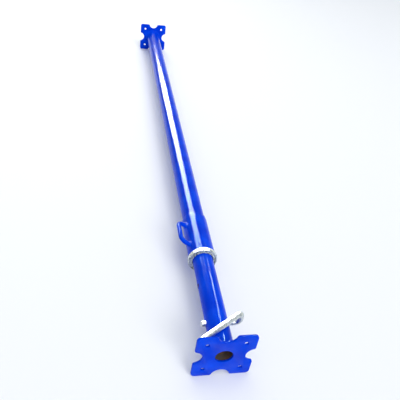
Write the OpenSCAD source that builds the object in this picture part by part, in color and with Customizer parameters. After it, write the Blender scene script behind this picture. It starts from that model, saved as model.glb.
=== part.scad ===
// Adjustable steel prop: a telescopic shoring post, lying closed on a flat surface.
// The axis runs along Y with the head plate at -Y and the base plate at +Y.
// A station is a distance along the axis from the outer face of the head plate.
// Millimetres. The origin is under the middle of the prop, on the surface it lies on.

/* [Overall] */
// Length of the closed prop over both plates
closed_l = 1800; // [1600:10:2200]
// How far the inner tube pulls out of the outer tube
extension = 1200; // [800:50:1200]

/* [Tubes] */
// Outside diameter of the inner tube
inner_d = 48.3; // [42:0.1:52]
// Wall of the inner tube
inner_wall = 2.7; // [2.3:0.1:3.6]
// Space all round between the inner tube and the outer tube
tube_gap = 1.85; // [1.6:0.05:3]
// Wall of the outer tube
outer_wall = 2.5; // [2:0.1:4]
// Length of the flared foot of the inner tube
foot_l = 14; // [8:1:30]
// Length of the cone that leads to the foot
foot_taper_l = 6; // [3:1:15]
// Space between the flared foot and the outer tube
foot_gap = 0.3; // [0.2:0.05:0.6]

/* [Adjusting thread] */
// Height of the rolled thread's crests over the outer tube
thread_rise = 0.4; // [0.2:0.1:1]
// Space between the threaded end's narrowed bore and the inner tube
neck_gap = 0.7; // [0.5:0.05:1]
// Length of the cone between the narrowed bore and the full bore
neck_taper_l = 5; // [3:1:12]
// Travel of the nut along the thread
nut_travel = 100; // [60:5:100]
// How far the outer tube's mouth lies inside the lowered nut
mouth_recess = 3; // [1:0.5:6]
// How much of the lowered nut's lower end reaches past the thread
thread_cover = 5; // [3:1:10]

/* [Sleeve nut] */
// Distance from the head plate's outer face to the nut when it is screwed right down
nut_station = 270; // [250:5:330]
// Length of the nut
nut_l = 135; // [130:1:180]
// Wall of the nut's skirt
nut_wall = 2.4; // [2:0.1:4]
// Space between the thread's crests and the nut's own thread zone
thread_gap = 0.3; // [0.2:0.05:0.5]
// Space between the thread's crests and the nut's skirt
skirt_gap = 0.7; // [0.5:0.05:1.2]
// Length of the taper at the nut's lower end
nut_taper_l = 12; // [6:1:20]
// How much the radius falls over that taper
nut_taper_drop = 1.4; // [0.5:0.1:1.8]
// Chamfer round the nut's upper end
nut_chamfer = 1.2; // [0.5:0.1:1.8]

/* [Nut handle] */
// Diameter of the handle's bar
handle_d = 11; // [8:0.5:14]
// Finger space between the nut and the handle's bar
finger_gap = 16.5; // [14:0.5:30]
// Distance between the handle's two legs along the nut
handle_span = 68; // [50:1:80]
// Distance from the nut's lower end to the lower leg
handle_from_end = 36; // [30:1:45]
// Bend radius of the lower corner, along the bar's middle
lower_bend_r = 11; // [8:0.5:16]
// Bend radius of the upper corner, along the bar's middle
upper_bend_r = 20; // [10:0.5:22]
// Angle of the handle above level, with the prop lying down
handle_lift = 28; // [0:1:60]
// Size of the weld round each leg
handle_weld_s = 3; // [2:0.5:5]

/* [Thrust ring] */
// Thickness of the ring along the axis
ring_t = 11; // [8:0.5:20]
// How far the ring stands out past the nut
ring_overhang = 3; // [1:0.5:8]
// Space between the ring and the inner tube
ring_gap = 0.6; // [0.4:0.1:0.9]
// Radius of the round rim
rim_r = 2.2; // [1.5:0.1:2.6]
// Width of the lip round the bore
lip_w = 2.6; // [2:0.1:3.4]
// Depth of the groove between rim and lip
groove_depth = 2.6; // [1:0.2:3.4]

/* [G-pin] */
// Diameter of the pin's bar
pin_d = 13; // [10:0.5:14]
// Space between the pin and its holes
pin_gap = 0.5; // [0.3:0.1:1]
// Distance from the head plate's outer face to the first pin hole
pin_station = 80; // [80:5:120]
// Distance from one pin hole to the next
pin_pitch = 100; // [80:5:120]
// How far the tip of the pin stands out of the tube
pin_tip = 9; // [5:1:15]
// Free space beside the tube inside the bow
bow_side = 18; // [13:1:22]
// Slant of the bow across the tube
bow_slant = 33; // [10:1:34]
// Bend radius of the pin, along its middle
pin_bend_r = 12; // [8:0.5:14]
// Length of the bow's straight tail
pin_tail = 14; // [6:1:20]
// Chamfer at the tip of the pin
pin_chamfer = 1.5; // [0.5:0.5:3]

/* [Bent bars] */
// How much thinner each bend leaves the bar of the handle or the pin
bend_draw = 0.1; // [0.06:0.02:0.2]

/* [Plates] */
// Width of the square plates
plate_w = 120; // [116:1:150]
// Thickness of the plates
plate_t = 5; // [3:0.5:10]
// Radius of the plates' outer corners
plate_corner_r = 9; // [4:1:14]
// Depth of the notch in the middle of each side
notch_depth = 17; // [8:1:18]
// Radius of the notch
notch_r = 19; // [18:1:24]
// Radius of the shoulders beside the notch
shoulder_r = 5; // [2:1:8]
// Diameter of the hole in the middle
centre_hole_d = 36; // [20:1:40]
// Diameter of the four nail holes
nail_hole_d = 9; // [6:0.5:12]
// Distance from one nail hole to the next
nail_pitch = 76; // [70:1:84]
// Size of the weld between a tube and its plate
weld_s = 5; // [3:0.5:6]

/* [Clearances] */
// Gap between pieces that rest on each other and still move
seat_gap = 0.3; // [0.2:0.05:0.5]

/* [Hidden] */
$fn = 96;

inner_r = inner_d / 2;
outer_bore_r = inner_r + tube_gap;
outer_r = outer_bore_r + outer_wall;
thread_r = outer_r + thread_rise;
nut_thread_r = thread_r + thread_gap;
nut_bore_r = thread_r + skirt_gap;
nut_r = nut_bore_r + nut_wall;
nut_thread_l = nut_l - nut_travel - mouth_recess;
ring_r = nut_r + ring_overhang;
ring_bore_r = inner_r + ring_gap;
handle_reach = nut_r + finger_gap + handle_d / 2;

mouth_station = nut_station + mouth_recess;
base_station = closed_l - plate_t;
thread_l = nut_l - mouth_recess - thread_cover;
outer_l = base_station - mouth_station;
inner_l = closed_l - 2 * plate_t - seat_gap;
ring_station = nut_station - seat_gap - ring_t;
last_pin_station = extension + ring_station;
weld_edge = 0.2;
draw_taper_l = 1;
overcut = 1;

paint = "#0a3fd2";
weld_paint = "#0836b4";
zinc = "#d5d9d6";

// Puts a piece on the prop's axis at a station: its +Z becomes +Y, its +Y points down
module at_station(station) {
    translate([0, station - closed_l / 2, plate_w / 2]) rotate([-90, 0, 0]) children();
}

// A round bar with square bends, one leg after another: [turn, straight length, bend radius].
// It starts along +Z and bends towards +X, turned round the leg; the last leg has no bend.
// Each bend draws the bar a little thinner, with a short taper behind it
module bent_bar(bar_d, legs, i = 0) {
    straight = legs[i][1];
    rotate([0, 0, legs[i][0]]) {
        cylinder(d = bar_d, h = straight);
        if (i < len(legs) - 1) translate([0, 0, straight]) {
            bend_r = legs[i][2];
            translate([bend_r, 0, 0]) rotate([90, 0, 0]) rotate([0, 0, 90])
                rotate_extrude(angle = 90) translate([bend_r, 0]) circle(d = bar_d);
            translate([bend_r, 0, bend_r]) rotate([0, 90, 0]) {
                cylinder(d1 = bar_d, d2 = bar_d - 2 * bend_draw, h = draw_taper_l);
                bent_bar(bar_d - bend_draw, legs, i + 1);
            }
        }
    }
}

// ---- plates and their welds ----

// One notch with round shoulders, cut from the plate's +Y side
module notch() {
    notch_y = plate_w / 2 - notch_depth + notch_r;
    shoulder_y = plate_w / 2 - shoulder_r;
    reach = notch_r + shoulder_r;
    shoulder_x = sqrt(pow(reach, 2) - pow(notch_y - shoulder_y, 2));
    touch = notch_r / reach;
    touch_x = shoulder_x * touch;
    touch_y = notch_y + (shoulder_y - notch_y) * touch;
    translate([0, notch_y]) circle(r = notch_r);
    difference() {
        polygon([[-shoulder_x, plate_w / 2 + overcut], [-shoulder_x, plate_w / 2],
                 [-touch_x, touch_y], [touch_x, touch_y],
                 [shoulder_x, plate_w / 2], [shoulder_x, plate_w / 2 + overcut]]);
        for (side = [-1, 1]) translate([side * shoulder_x, shoulder_y]) circle(r = shoulder_r);
    }
}

module plate_outline() {
    flat_w = plate_w - 2 * plate_corner_r;
    difference() {
        union() {
            square([plate_w, flat_w], center = true);
            square([flat_w, plate_w], center = true);
            for (x = [-1, 1], y = [-1, 1]) translate([x, y] * flat_w / 2) circle(r = plate_corner_r);
        }
        for (turn = [0 : 90 : 270]) rotate(turn) notch();
    }
}

// Four ears round a centre hole, with a nail hole in each ear
module eared_plate() {
    linear_extrude(plate_t) difference() {
        plate_outline();
        circle(d = centre_hole_d);
        for (x = [-1, 1], y = [-1, 1]) translate([x, y] * nail_pitch / 2) circle(d = nail_hole_d);
    }
}

// Slightly domed fillet weld round a tube that stands on Z = 0
module weld_ring(tube_r) {
    dome = weld_s * 0.8;
    rotate_extrude() intersection() {
        translate([tube_r, 0]) square(weld_s);
        translate([tube_r - dome, -dome]) circle(r = norm([weld_s + dome, dome + weld_edge]));
    }
}

// ---- outer tube ----

module outer_tube() {
    neck_r = inner_r + neck_gap;
    color(paint) at_station(mouth_station) rotate_extrude() polygon([
        [neck_r, 0], [thread_r - thread_rise, 0], [thread_r, thread_rise],
        [thread_r, thread_l - thread_rise], [outer_r, thread_l], [outer_r, outer_l],
        [outer_bore_r, outer_l], [outer_bore_r, thread_l + neck_taper_l], [neck_r, thread_l]]);
}

module base_plate() {
    color(paint) at_station(base_station) eared_plate();
}

module base_weld() {
    color(weld_paint) at_station(base_station) mirror([0, 0, 1]) weld_ring(outer_r);
}

// ---- sleeve nut and its handle ----

module sleeve_nut() {
    thread_start = nut_l - nut_thread_l;
    bore_step = nut_bore_r - nut_thread_r;
    color(paint) at_station(nut_station) rotate_extrude() polygon([
        [nut_bore_r, 0], [nut_r - nut_chamfer, 0], [nut_r, nut_chamfer],
        [nut_r, nut_l - nut_taper_l], [nut_r - nut_taper_drop, nut_l],
        [nut_thread_r, nut_l], [nut_thread_r, thread_start], [nut_bore_r, thread_start - bore_step]]);
}

// The frame of a leg's root: on the axis, with +Z out through the nut's wall and +X up the nut
module leg_frame(from_end) {
    at_station(nut_station + nut_l - from_end) rotate([0, 0, 180 + handle_lift])
        rotate([0, 90, 0]) children();
}

// The space that the nut fills, in a leg's frame
module nut_space() {
    rotate([0, 90, 0]) cylinder(r = nut_r, h = 3 * nut_l, center = true);
}

module nut_handle() {
    root_r = nut_r - handle_d / 2;
    reach = handle_reach - root_r;
    color(paint) leg_frame(handle_from_end) difference() {
        translate([0, 0, root_r]) bent_bar(handle_d, [
            [0, reach - lower_bend_r, lower_bend_r],
            [0, handle_span - lower_bend_r - upper_bend_r, upper_bend_r],
            [0, reach - upper_bend_r]]);
        nut_space();
    }
}

// Weld collar round one leg, shaped to the nut
module leg_weld(from_end) {
    top_r = handle_d / 2 + weld_edge;
    foot_r = top_r + 2 * handle_weld_s;
    color(weld_paint) leg_frame(from_end) difference() {
        translate([0, 0, nut_r - handle_weld_s])
            cylinder(r1 = foot_r, r2 = top_r, h = 2 * handle_weld_s);
        cylinder(d = handle_d, h = 2 * nut_r);
        nut_space();
    }
}

module handle_weld_lower() {
    leg_weld(handle_from_end);
}

module handle_weld_upper() {
    leg_weld(handle_from_end + handle_span);
}

// ---- thrust ring ----

// Loose ring between pin and nut: a round rim and a lip with a groove between them
module thrust_ring() {
    lip_r = lip_w / 2;
    color(zinc) at_station(ring_station) rotate_extrude() {
        translate([ring_bore_r, groove_depth])
            square([ring_r - rim_r - ring_bore_r, ring_t - groove_depth]);
        translate([ring_r - 2 * rim_r, rim_r]) square([2 * rim_r, ring_t - 2 * rim_r]);
        for (z = [rim_r, ring_t - rim_r]) translate([ring_r - rim_r, z]) circle(r = rim_r);
        translate([ring_bore_r, lip_r]) square([lip_w, ring_t - lip_r]);
        translate([ring_bore_r + lip_r, lip_r]) circle(r = lip_r);
    }
}

// ---- inner tube and pin ----

module inner_tube() {
    foot_r = outer_bore_r - foot_gap;
    foot_start = inner_l - foot_l;
    color(paint) difference() {
        at_station(plate_t) rotate_extrude() polygon([
            [inner_r - inner_wall, 0], [inner_r, 0], [inner_r, foot_start - foot_taper_l],
            [foot_r, foot_start], [foot_r, inner_l], [foot_r - inner_wall, inner_l],
            [foot_r - inner_wall, foot_start], [inner_r - inner_wall, foot_start - foot_taper_l]]);
        for (station = [pin_station : pin_pitch : last_pin_station])
            at_station(station) rotate([0, 90, 0])
                cylinder(d = pin_d + 2 * pin_gap, h = 2 * inner_d, center = true);
    }
}

module head_plate() {
    color(paint) at_station(0) eared_plate();
}

module head_weld() {
    color(weld_paint) at_station(plate_t) weld_ring(inner_r);
}

// Bent steel pin: its shank goes through the tube and its bow crosses over the top
module g_pin() {
    tip_x = inner_r + pin_tip;
    side_x = inner_r + bow_side + pin_d / 2;
    bow_z = inner_r + seat_gap + pin_d / 2 - bend_draw;
    color(zinc) at_station(pin_station) translate([-tip_x, 0, 0]) rotate([0, 90, 0])
        rotate([0, 0, -90]) {
            cylinder(d1 = pin_d - 2 * pin_chamfer, d2 = pin_d, h = pin_chamfer);
            translate([0, 0, pin_chamfer]) bent_bar(pin_d, [
                [0, tip_x + side_x - pin_bend_r - pin_chamfer, pin_bend_r],
                [bow_slant, bow_z - 2 * pin_bend_r, pin_bend_r],
                [0, 2 * side_x / cos(bow_slant) - 2 * pin_bend_r, pin_bend_r],
                [0, pin_tail]]);
        }
}

outer_tube();
base_plate();
base_weld();
sleeve_nut();
nut_handle();
handle_weld_upper();
handle_weld_lower();
thrust_ring();
inner_tube();
head_plate();
head_weld();
g_pin();
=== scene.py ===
"""Finishes, fine shapes and stage for an adjustable steel prop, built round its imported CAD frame."""

import math

import bmesh
import bpy
from bpy.props import FloatProperty, FloatVectorProperty, IntProperty, PointerProperty
from mathutils import Matrix, Vector, noise


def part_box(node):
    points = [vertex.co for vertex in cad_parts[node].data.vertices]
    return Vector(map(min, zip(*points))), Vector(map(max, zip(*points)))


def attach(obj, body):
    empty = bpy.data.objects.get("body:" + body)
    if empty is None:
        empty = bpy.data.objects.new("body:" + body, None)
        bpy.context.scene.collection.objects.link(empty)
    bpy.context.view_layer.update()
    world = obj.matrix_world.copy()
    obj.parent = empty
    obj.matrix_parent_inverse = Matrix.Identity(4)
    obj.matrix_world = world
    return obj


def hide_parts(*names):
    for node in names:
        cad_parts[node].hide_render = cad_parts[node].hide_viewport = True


bl_info = {
    "name": "Adjustable Steel Prop",
    "version": (1, 0, 0),
    "blender": (4, 5, 0),
    "location": "View3D > Sidebar > Steel Prop",
    "description": "Dresses the CAD model of an adjustable steel prop and sets its stage",
    "category": "Object",
}

MM = 0.001
# points nearer to each other than this are one point
SAME_POINT = 1e-6

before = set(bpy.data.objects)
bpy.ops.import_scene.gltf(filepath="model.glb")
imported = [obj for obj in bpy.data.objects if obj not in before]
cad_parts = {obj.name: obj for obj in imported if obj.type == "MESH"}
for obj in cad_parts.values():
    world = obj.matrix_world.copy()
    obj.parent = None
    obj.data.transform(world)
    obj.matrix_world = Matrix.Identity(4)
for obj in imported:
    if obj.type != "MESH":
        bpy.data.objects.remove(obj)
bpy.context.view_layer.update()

# height of the prop's axis above the surface it lies on
AXIS_Z = sum(corner.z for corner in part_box("outer_tube")) / 2


# ---- what a user would change ----


def linear(colour):
    """An sRGB hex colour as linear red, green and blue."""
    channels = [int(colour[i : i + 2], 16) / 255 for i in (1, 3, 5)]
    return [c / 12.92 if c <= 0.04045 else ((c + 0.055) / 1.055) ** 2.4 for c in channels]


class PropFinish(bpy.types.PropertyGroup):
    """Colours of the paint, the zinc and the bare steel."""

    paint: FloatVectorProperty(
        name="Paint", description="Colour of the dip enamel", subtype="COLOR", default=linear("#0034c8")
    )
    paint_thin: FloatVectorProperty(
        name="Thin paint", description="Enamel where it drew thin", subtype="COLOR", default=linear("#0448e0")
    )
    sheen: FloatVectorProperty(
        name="Sheen", description="Tint of the enamel's gloss", subtype="COLOR", default=linear("#a0e1ff")
    )
    zinc: FloatVectorProperty(
        name="Zinc", description="Bright zinc plating", subtype="COLOR", default=linear("#dce1e0")
    )
    dull_zinc: FloatVectorProperty(
        name="Dull zinc", description="Zinc in low spots", subtype="COLOR", default=linear("#56646a")
    )
    scale: FloatVectorProperty(
        name="Mill scale", description="Bare steel in the tubes", subtype="COLOR", default=linear("#5c524c")
    )
    rust: FloatVectorProperty(
        name="Rust", description="Rust bloom inside the tubes", subtype="COLOR", default=linear("#80604a")
    )


class PropShape(bpy.types.PropertyGroup):
    """Sizes of the shapes that only the scene makes."""

    thread_lead: FloatProperty(
        name="Thread lead", description="Rise of the thread in one turn", unit="LENGTH", default=8 * MM
    )
    thread_depth: FloatProperty(
        name="Thread depth", description="Depth of the rolled thread", unit="LENGTH", default=1.1 * MM
    )
    edge_round: FloatProperty(
        name="Edge rounding", description="Radius that the paint gives an edge", unit="LENGTH", default=1 * MM
    )
    ripple: FloatProperty(
        name="Weld ripple", description="Distance between weld ripples", unit="LENGTH", default=3.2 * MM
    )
    ripple_height: FloatProperty(
        name="Ripple height", description="Height of weld ripples", unit="LENGTH", default=0.35 * MM
    )
    round_steps: IntProperty(name="Steps", description="Steps round a turned piece", default=96)


class PropStage(bpy.types.PropertyGroup):
    """Camera, floor and light."""

    camera_place: FloatVectorProperty(
        name="Camera",
        description="Place of the camera",
        subtype="XYZ",
        unit="LENGTH",
        default=(-0.226, -1.404, 0.833),
    )
    camera_ahead: FloatVectorProperty(
        name="Ahead",
        description="Where the camera looks",
        subtype="DIRECTION",
        default=(0.1991, 0.7746, -0.6004),
    )
    camera_up: FloatVectorProperty(
        name="Up",
        description="Which way is up in the picture",
        subtype="DIRECTION",
        default=(-0.0038, 0.6132, 0.7899),
    )
    camera_lens: FloatProperty(name="Lens", description="Focal length in millimetres", default=42)
    floor_colour: FloatVectorProperty(
        name="Floor", description="Colour of the floor", subtype="COLOR", default=linear("#e9eaec")
    )
    key_power: FloatProperty(name="Key light", description="Watts a square metre, from in front", default=1.5)
    key_spread: FloatProperty(
        name="Key spread", description="Softness of the key light", subtype="ANGLE", default=math.radians(28)
    )
    overhead_power: FloatProperty(name="Overhead light", description="Watts of the light above", default=70)
    streak_power: FloatProperty(name="Streak light", description="Watts of the panel behind", default=1500)
    edge_power: FloatProperty(name="Edge light", description="Watts of the strip on the right", default=150)
    world_colour: FloatVectorProperty(
        name="Sky", description="Colour of the light all round", subtype="COLOR", default=linear("#f1f8ff")
    )
    world_power: FloatProperty(name="Surround", description="Strength of the light all round", default=0.6)


# ---- making meshes ----


def radii(node, y_from, y_to):
    """Smallest and largest radius of a CAD node's points between two places along the axis."""
    found = [
        math.hypot(v.co.x, v.co.z - AXIS_Z)
        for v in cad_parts[node].data.vertices
        if y_from <= v.co.y <= y_to
    ]
    return min(found), max(found)


def on_axis(y, side=1):
    """Where Z runs along the prop's axis from a place on it, towards the base or with side -1 the head."""
    return Matrix.Translation((0, y, AXIS_Z)) @ Matrix.Rotation(math.radians(-90 * side), 4, "X")


def spun(profile, steps):
    """A bmesh of a closed profile of (radius, height) points spun round Z."""
    bm = bmesh.new()
    points = [bm.verts.new((radius, 0, height)) for radius, height in profile]
    edges = [bm.edges.new(pair) for pair in zip(points, points[1:] + points[:1])]
    bmesh.ops.spin(
        bm, geom=points + edges, cent=(0, 0, 0), axis=(0, 0, 1), angle=math.tau, steps=steps, use_merge=True
    )
    bmesh.ops.remove_doubles(bm, verts=bm.verts, dist=SAME_POINT)
    bmesh.ops.recalc_face_normals(bm, faces=bm.faces)
    return bm


def weld_bead(tube, size, shape):
    """A bmesh of a rippled fillet weld round a tube that stands on Z = 0."""
    # how far the bead is sunk into tube and plate, and how far behind both its round face has its centre
    sunk = 0.3 * MM
    dome = 0.8 * size
    arc_r = math.hypot(size + dome, dome)
    lean = math.atan2(dome, size + dome)
    arc_steps = 10
    arc = []
    for i in range(arc_steps + 1):
        turn = lean + (math.pi / 2 - 2 * lean) * i / arc_steps
        arc.append((tube - dome + arc_r * math.cos(turn), arc_r * math.sin(turn) - dome))
    ripples = round(math.tau * (tube + size / 2) / shape.ripple)
    steps_a_ripple = 8
    profile = [(tube - sunk, -sunk), (tube + size, -sunk)] + arc + [(tube - sunk, size)]
    bm = spun(profile, steps_a_ripple * ripples)

    # each ripple bows back at the middle of the bead, where it is highest, and the bead swells and thins
    # along its way
    most_bow = 1.6
    swell_pitch = 5
    edge_share = 0.25
    for vert in bm.verts:
        out = Vector((vert.co.x, vert.co.y, 0))
        radius = out.length
        out.normalize()
        rise = vert.co.z / size
        if rise <= 0 or radius < tube:
            continue
        bow = most_bow * math.sin(math.pi * rise)
        wave = 0.5 - 0.5 * math.cos(ripples * math.atan2(out.y, out.x) + bow)
        swell = 0.5 + 0.5 * noise.noise(out * swell_pitch)
        middle = math.sin(math.pi * min(1, rise))
        drop = shape.ripple_height * (wave + swell) * (edge_share + (1 - edge_share) * middle)
        vert.co -= (out + Vector((0, 0, 1))).normalized() * drop
    return bm


def as_piece(name, bm, place, node, body):
    """A finished bmesh, put in its place, as a piece that stands for a CAD node and rides on its body."""
    bm.transform(place)
    bmesh.ops.recalc_face_normals(bm, faces=bm.faces)
    mesh = bpy.data.meshes.new(name)
    bm.to_mesh(mesh)
    bm.free()
    mesh.shade_smooth()
    piece = bpy.data.objects.new(name, mesh)
    bpy.context.scene.collection.objects.link(piece)
    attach(piece, body)
    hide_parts(node)
    return piece


# ---- materials ----


def add(tree, kind, settings=None, links=None):
    """Adds a shader node, sets its values and links its inputs."""
    node = tree.nodes.new(kind)
    for name, value in (settings or {}).items():
        if isinstance(name, int) or name in node.inputs:
            node.inputs[name].default_value = value
        else:
            setattr(node, name, value)
    for name, source in (links or {}).items():
        tree.links.new(source, node.inputs[name])
    return node


def new_material(name):
    """An empty material: its nodes, its surface shader and the object's coordinates."""
    material = bpy.data.materials.new(name)
    material.use_nodes = True
    tree = material.node_tree
    tree.nodes.clear()
    shader = add(tree, "ShaderNodeBsdfPrincipled")
    add(tree, "ShaderNodeOutputMaterial", links={"Surface": shader.outputs["BSDF"]})
    return material, tree, shader, add(tree, "ShaderNodeTexCoord").outputs["Object"]


def dress(piece, material):
    """Gives a piece its one material."""
    piece.data.materials.clear()
    piece.data.materials.append(material)


def per_metre(size_mm):
    """Noise scale whose lumps are about that many millimetres across."""
    return 1 / (size_mm * MM)


def rgba(colour):
    """A colour with full alpha, as a socket wants it."""
    return (*colour, 1)


def enamel(name, wave_mm, wave_height=0.15 * MM, bare_radius=0):
    """Gloss alkyd enamel put on by dipping: deep even colour, long soft waves, a faint orange peel.
    Nearer to the axis than bare_radius the steel is bare, dull brown-grey with rust bloom."""
    finish = bpy.context.scene.prop_finish
    material, tree, shader, place = new_material(name)

    # lumps of 45 mm: where the coat drew thin it lets a little more light back
    lumps = add(tree, "ShaderNodeTexNoise", {"Scale": per_metre(45), "Detail": 2.0}, {"Vector": place})
    thin = add(
        tree, "ShaderNodeMapRange", {"From Min": 0.35, "From Max": 0.75}, {"Value": lumps.outputs["Fac"]}
    )
    colour = add(
        tree,
        "ShaderNodeMix",
        {"data_type": "RGBA", 6: rgba(finish.paint), 7: rgba(finish.paint_thin)},
        {0: thin.outputs["Result"]},
    ).outputs[2]

    # patches of 25 mm: dust and handling take the gloss down
    smear = add(tree, "ShaderNodeTexNoise", {"Scale": per_metre(25), "Detail": 4.0}, {"Vector": place})
    gloss = add(
        tree,
        "ShaderNodeMapRange",
        {"From Min": 0.3, "From Max": 0.7, "To Min": 0.06, "To Max": 0.16},
        {"Value": smear.outputs["Fac"]},
    ).outputs["Result"]

    # long waves where the paint ran down the hanging piece, and orange peel of 2.2 mm
    waves_across = [per_metre(size) for size in wave_mm]
    stretched = add(tree, "ShaderNodeVectorMath", {"operation": "MULTIPLY", 1: waves_across}, {0: place})
    waves = add(tree, "ShaderNodeTexNoise", {"Scale": 1.0, "Detail": 1.0}, {"Vector": stretched.outputs[0]})
    peel = add(tree, "ShaderNodeTexNoise", {"Scale": per_metre(2.2), "Detail": 1.0}, {"Vector": place})
    waved = add(
        tree, "ShaderNodeBump", {"Strength": 1.0, "Distance": wave_height}, {"Height": waves.outputs["Fac"]}
    )
    peeled = add(
        tree,
        "ShaderNodeBump",
        {"Strength": 0.12, "Distance": 0.15 * MM},
        {"Height": peel.outputs["Fac"], "Normal": waved.outputs["Normal"]},
    )

    if bare_radius:
        # distance from the prop's axis, and lumps of rust 9 mm across
        across = add(
            tree,
            "ShaderNodeVectorMath",
            {"operation": "MULTIPLY_ADD", 1: (1, 0, 1), 2: (0, 0, -AXIS_Z)},
            {0: place},
        )
        reach = add(tree, "ShaderNodeVectorMath", {"operation": "LENGTH"}, {0: across.outputs[0]})
        bare = add(
            tree, "ShaderNodeMath", {"operation": "LESS_THAN", 1: bare_radius}, {0: reach.outputs["Value"]}
        ).outputs[0]
        bloom = add(tree, "ShaderNodeTexNoise", {"Scale": per_metre(9), "Detail": 6.0}, {"Vector": place})
        rusted = add(
            tree, "ShaderNodeMapRange", {"From Min": 0.4, "From Max": 0.62}, {"Value": bloom.outputs["Fac"]}
        )
        steel = add(
            tree,
            "ShaderNodeMix",
            {"data_type": "RGBA", 6: rgba(finish.scale), 7: rgba(finish.rust)},
            {0: rusted.outputs["Result"]},
        )
        colour = add(
            tree, "ShaderNodeMix", {"data_type": "RGBA"}, {0: bare, 6: colour, 7: steel.outputs[2]}
        ).outputs[2]
        gloss = add(tree, "ShaderNodeMix", {"data_type": "FLOAT", 3: 0.6}, {0: bare, 2: gloss}).outputs[0]

    tree.links.new(colour, shader.inputs["Base Color"])
    tree.links.new(gloss, shader.inputs["Roughness"])
    tree.links.new(peeled.outputs["Normal"], shader.inputs["Normal"])
    # the gloss is faint beside so strong a pigment, and takes on some of its blue
    shader.inputs["IOR"].default_value = 1.5
    shader.inputs["Specular IOR Level"].default_value = 0.07
    shader.inputs["Specular Tint"].default_value = rgba(finish.sheen)
    return material


def zinc(name, grain_mm, grain_height, rough, pitted):
    """Bright zinc electroplate on steel: white metal with a faint blue and yellow passivation bloom."""
    finish = bpy.context.scene.prop_finish
    material, tree, shader, place = new_material(name)

    # bloom in clouds of 14 mm
    clouds = add(tree, "ShaderNodeTexNoise", {"Scale": per_metre(14), "Detail": 3.0}, {"Vector": place})
    tint = add(tree, "ShaderNodeValToRGB", links={"Fac": clouds.outputs["Fac"]})
    bluish, yellowish = tint.color_ramp.elements
    bluish.position, yellowish.position = 0.3, 0.7
    bluish.color = rgba([c * share for c, share in zip(finish.zinc, (0.86, 0.93, 1.0))])
    yellowish.color = rgba([c * share for c, share in zip(finish.zinc, (1.0, 0.98, 0.86))])
    tint.color_ramp.elements.new(0.5).color = rgba(finish.zinc)

    # the plating is brighter and duller in patches of 6 mm
    patches = add(tree, "ShaderNodeTexNoise", {"Scale": per_metre(6), "Detail": 4.0}, {"Vector": place})
    gloss = add(
        tree,
        "ShaderNodeMapRange",
        {"From Min": 0.3, "From Max": 0.7, "To Min": rough[0], "To Max": rough[1]},
        {"Value": patches.outputs["Fac"]},
    )
    grain = add(tree, "ShaderNodeTexNoise", {"Scale": per_metre(grain_mm), "Detail": 3.0}, {"Vector": place})
    bump = add(
        tree, "ShaderNodeBump", {"Strength": 0.5, "Distance": grain_height}, {"Height": grain.outputs["Fac"]}
    )

    # the low spots of the skin stay dull; they are drawn 5 mm apart, coarser than real, so that they show
    spots = add(tree, "ShaderNodeTexNoise", {"Scale": per_metre(5), "Detail": 5.0}, {"Vector": place})
    pits = add(
        tree,
        "ShaderNodeMapRange",
        {"From Min": 0.5, "From Max": 0.4, "To Max": pitted},
        {"Value": spots.outputs["Fac"]},
    )
    metal = add(
        tree,
        "ShaderNodeMix",
        {"data_type": "RGBA", 7: rgba(finish.dull_zinc)},
        {0: pits.outputs["Result"], 6: tint.outputs["Color"]},
    )
    tree.links.new(metal.outputs[2], shader.inputs["Base Color"])
    tree.links.new(gloss.outputs["Result"], shader.inputs["Roughness"])
    tree.links.new(bump.outputs["Normal"], shader.inputs["Normal"])
    shader.inputs["Metallic"].default_value = 1.0
    return material


def paper(name, colour):
    """Matt pale paper: plain, with next to no sheen."""
    material, _, shader, _ = new_material(name)
    shader.inputs["Base Color"].default_value = rgba(colour)
    shader.inputs["Roughness"].default_value = 0.85
    shader.inputs["Specular IOR Level"].default_value = 0.2
    return material


# ---- the pieces ----


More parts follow.
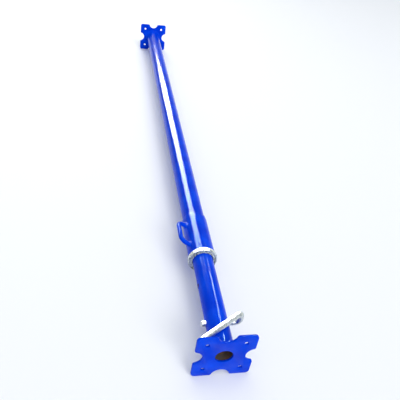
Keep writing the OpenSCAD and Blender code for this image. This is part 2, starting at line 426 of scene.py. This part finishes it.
class PROP_OT_threaded_tube(bpy.types.Operator):
    """Makes the outer tube with its rolled adjusting thread"""

    bl_idname = "steel_prop.threaded_tube"
    bl_label = "Outer tube"

    def execute(self, context):
        shape = context.scene.prop_shape
        low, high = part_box("outer_tube")
        length = high.y - low.y
        crest = high.x
        bore, outer = radii("outer_tube", low.y + length / 2, high.y)
        neck = radii("outer_tube", low.y, low.y + 1 * MM)[0]
        # the thread's zone is what stands out over the plain tube
        stands_out = 0.2 * MM
        thread_l = max(
            v.co.y - low.y
            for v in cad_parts["outer_tube"].data.vertices
            if math.hypot(v.co.x, v.co.z - AXIS_Z) > outer + stands_out
        )
        root = crest - shape.thread_depth
        rows_a_turn = 16
        step = shape.thread_lead / rows_a_turn
        rows = int((thread_l - step) / step)
        # narrow bands that keep the corners crisp, the slope from the neck to the bore, and the length in
        # which the thread fades out
        lip = 0.6 * MM
        neck_slope = 5 * MM
        runout = 6 * MM
        bm = spun(
            [(neck, lip), (neck + lip, 0)]
            + [(root, row * step) for row in range(rows + 1)]
            + [(outer, thread_l + step), (outer, thread_l + step + lip)]
            + [(outer, length - lip), (outer, length)]
            + [(bore, length), (bore, length - lip), (bore, thread_l + neck_slope), (neck, thread_l)],
            shape.round_steps,
        )
        # the rows at the root rise to round crests, wider than the valleys between them
        on_root = 0.01 * MM
        fullness = 0.6
        for vert in bm.verts:
            out = Vector((vert.co.x, vert.co.y, 0))
            if abs(out.length - root) > on_root:
                continue
            turn = vert.co.z / shape.thread_lead - math.atan2(out.y, out.x) / math.tau
            rounded = (0.5 - 0.5 * math.cos(turn * math.tau)) ** fullness
            # the thread starts over half a turn and fades out over the runout
            start = min(1, vert.co.z / shape.thread_lead * 2)
            fade = min(start, (thread_l - vert.co.z) / runout)
            vert.co += out.normalized() * shape.thread_depth * rounded * max(0, fade)
        tube = as_piece("outer_tube_threaded", bm, on_axis(low.y), "outer_tube", "outer")
        mid_wall = (bore + outer) / 2
        dress(tube, enamel("dip_enamel_on_outer_tube", (14, 90, 14), bare_radius=mid_wall))
        return {"FINISHED"}


class PROP_OT_plates(bpy.types.Operator):
    """Makes both plates with the rounded edges of punched and painted steel"""

    bl_idname = "steel_prop.plates"
    bl_label = "Plates"

    def execute(self, context):
        shape = context.scene.prop_shape
        # faces that meet at less than this are flat, and edges sharper than that are rounded
        flat = math.radians(0.5)
        sharp = math.radians(30)
        paint = enamel("dip_enamel_on_plates", (30, 30, 30), 0.08 * MM)
        for node, body in (("head_plate", "inner"), ("base_plate", "outer")):
            bm = bmesh.new()
            bm.from_mesh(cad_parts[node].data)
            bmesh.ops.remove_doubles(bm, verts=bm.verts, dist=SAME_POINT)
            bmesh.ops.dissolve_limit(bm, angle_limit=flat, verts=bm.verts, edges=bm.edges)
            plate = as_piece(node + "_rounded", bm, Matrix(), node, body)
            bevel = plate.modifiers.new("edges", "BEVEL")
            bevel.width = shape.edge_round
            bevel.segments = 3
            bevel.limit_method = "ANGLE"
            bevel.angle_limit = sharp
            bevel.harden_normals = True
            dress(plate, paint)
        return {"FINISHED"}


class PROP_OT_plate_welds(bpy.types.Operator):
    """Makes the rippled weld beads between the tubes and their plates"""

    bl_idname = "steel_prop.plate_welds"
    bl_label = "Plate welds"

    def execute(self, context):
        shape = context.scene.prop_shape
        paint = enamel("dip_enamel_on_plate_welds", (6, 6, 6))
        for node, body, side in (("head_weld", "inner", 1), ("base_weld", "outer", -1)):
            low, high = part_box(node)
            size = high.y - low.y
            bm = weld_bead(high.x - size, size, shape)
            place = on_axis(low.y if side > 0 else high.y, side)
            dress(as_piece(node + "_rippled", bm, place, node, body), paint)
        return {"FINISHED"}


class PROP_OT_handle_welds(bpy.types.Operator):
    """Makes the rippled weld beads round the handle's legs, saddled on the round nut"""

    bl_idname = "steel_prop.handle_welds"
    bl_label = "Handle welds"

    def execute(self, context):
        shape = context.scene.prop_shape
        paint = enamel("dip_enamel_on_handle_welds", (4, 4, 4))
        nut_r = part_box("sleeve_nut")[1].x
        for node in ("handle_weld_upper", "handle_weld_lower"):
            points = [v.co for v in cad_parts[node].data.vertices]
            middle = sum(points, Vector()) / len(points)
            out = Vector((middle.x, 0, middle.z - AXIS_Z)).normalized()
            along = Vector((0, 1, 0))
            tangent = out.cross(along)
            # distances from the leg's own middle line
            foot = (min(p.y for p in points) + max(p.y for p in points)) / 2
            centre = Vector((0, foot, AXIS_Z))
            reaches = [(p - centre).dot(out) for p in points]
            spreads = [((p - centre) - out * reach).length for p, reach in zip(points, reaches)]
            bm = weld_bead(min(spreads), max(reaches) - nut_r, shape)
            for vert in bm.verts:
                vert.co.z += math.sqrt(nut_r**2 - vert.co.y**2)
            place = Matrix((along, tangent, out)).transposed().to_4x4()
            place.translation = centre
            dress(as_piece(node + "_rippled", bm, place, node, "nut"), paint)
        return {"FINISHED"}


class PROP_OT_finishes(bpy.types.Operator):
    """Gives the pieces that come straight from the frame their paint or zinc"""

    bl_idname = "steel_prop.finishes"
    bl_label = "Finishes"

    def execute(self, context):
        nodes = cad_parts
        # the plain length of the tube, away from its foot and its plate
        plain = 300 * MM
        bore, outer = radii("inner_tube", -plain, plain)
        mid_wall = (bore + outer) / 2
        on_tube = enamel("dip_enamel_on_inner_tube", (14, 90, 14), bare_radius=mid_wall)
        dress(nodes["inner_tube"], on_tube)
        on_nut = enamel("dip_enamel_on_nut", (7, 16, 7), 0.35 * MM)
        dress(nodes["sleeve_nut"], on_nut)
        dress(nodes["nut_handle"], on_nut)
        dress(nodes["thrust_ring"], zinc("zinc_on_cast_ring", 2.2, 0.5 * MM, (0.3, 0.5), 0.85))
        dress(nodes["g_pin"], zinc("zinc_on_bent_bar", 0.9, 0.08 * MM, (0.24, 0.4), 0.4))
        return {"FINISHED"}


class PROP_OT_stage(bpy.types.Operator):
    """Sets the floor, the lights and the camera"""

    bl_idname = "steel_prop.stage"
    bl_label = "Stage"

    def execute(self, context):
        stage = context.scene.prop_stage
        scene = context.scene

        # metres from the middle of the floor to its sides, so that its end lies far off
        floor_reach = 30
        bm = bmesh.new()
        bmesh.ops.create_grid(bm, x_segments=1, y_segments=1, size=floor_reach)
        mesh = bpy.data.meshes.new("floor")
        bm.to_mesh(mesh)
        bm.free()
        floor = bpy.data.objects.new("floor", mesh)
        scene.collection.objects.link(floor)
        dress(floor, paper("pale_paper", stage.floor_colour))

        world = bpy.data.worlds.new("surround")
        world.use_nodes = True
        background = world.node_tree.nodes["Background"]
        background.inputs["Color"].default_value = rgba(stage.world_colour)
        background.inputs["Strength"].default_value = stage.world_power
        scene.world = world
        scene.view_settings.view_transform = "Standard"

        # the streak panel leans so that the whole length of the tubes mirrors it, and the strip draws a
        # fine line down the inner tube; both show only in gloss
        key = self.light("key_light", "SUN", (3.0, -7.0, 6.0), (0, 0, 1), stage.key_power)
        key.data.angle = stage.key_spread
        self.panel("overhead_light", (0.4, -1.0, 4.5), (0, 1, 0), (3.0, 4.0), stage.overhead_power)
        streak_up = (-0.47, -1.92, 1.44)
        streak = self.panel("streak_light", (-0.95, 4.25, 2.9), streak_up, (2.8, 2.8), stage.streak_power)
        edge = self.panel("edge_light", (1.5, 1.6, 2.9), (0, 0, 1), (0.3, 1.6), stage.edge_power)
        streak.visible_diffuse = edge.visible_diffuse = False

        data = bpy.data.cameras.new("camera")
        data.lens = stage.camera_lens
        camera = bpy.data.objects.new("camera", data)
        scene.collection.objects.link(camera)
        self.aim(camera, stage.camera_place, stage.camera_ahead, stage.camera_up)
        scene.camera = camera
        return {"FINISHED"}

    def aim(self, thing, place, ahead, up):
        """Puts a camera or a light at a place, looking ahead."""
        ahead = Vector(ahead).normalized()
        right = ahead.cross(Vector(up)).normalized()
        turn = Matrix((right, right.cross(ahead), -ahead)).transposed().to_4x4()
        thing.matrix_world = Matrix.Translation(place) @ turn

    def light(self, name, kind, place, up, power):
        """A light on the prop that the camera doesn't see."""
        data = bpy.data.lights.new(name, kind)
        data.energy = power
        light = bpy.data.objects.new(name, data)
        bpy.context.scene.collection.objects.link(light)
        self.aim(light, place, -Vector(place), up)
        light.visible_camera = False
        return light

    def panel(self, name, place, up, size, power):
        """A soft rectangular light."""
        light = self.light(name, "AREA", place, up, power)
        light.data.shape = "RECTANGLE"
        light.data.size, light.data.size_y = size
        return light


class PROP_PT_panel(bpy.types.Panel):
    """Lists the steps that dress the prop"""

    bl_idname = "PROP_PT_panel"
    bl_label = "Steel Prop"
    bl_space_type = "VIEW_3D"
    bl_region_type = "UI"
    bl_category = "Steel Prop"

    def draw(self, context):
        for operator in OPERATORS:
            self.layout.operator(operator.bl_idname)


OPERATORS = (
    PROP_OT_threaded_tube,
    PROP_OT_plates,
    PROP_OT_plate_welds,
    PROP_OT_handle_welds,
    PROP_OT_finishes,
    PROP_OT_stage,
)
SETTINGS = {"prop_finish": PropFinish, "prop_shape": PropShape, "prop_stage": PropStage}


def register():
    for group in SETTINGS.values():
        bpy.utils.register_class(group)
    for name, group in SETTINGS.items():
        setattr(bpy.types.Scene, name, PointerProperty(type=group))
    for operator in OPERATORS:
        bpy.utils.register_class(operator)
    bpy.utils.register_class(PROP_PT_panel)


def unregister():
    bpy.utils.unregister_class(PROP_PT_panel)
    for operator in reversed(OPERATORS):
        bpy.utils.unregister_class(operator)
    for name, group in SETTINGS.items():
        delattr(bpy.types.Scene, name)
        bpy.utils.unregister_class(group)


def main():
    register()
    bpy.ops.steel_prop.threaded_tube()
    bpy.ops.steel_prop.plates()
    bpy.ops.steel_prop.plate_welds()
    bpy.ops.steel_prop.handle_welds()
    bpy.ops.steel_prop.finishes()
    bpy.ops.steel_prop.stage()


if __name__ == "__main__":
    main()
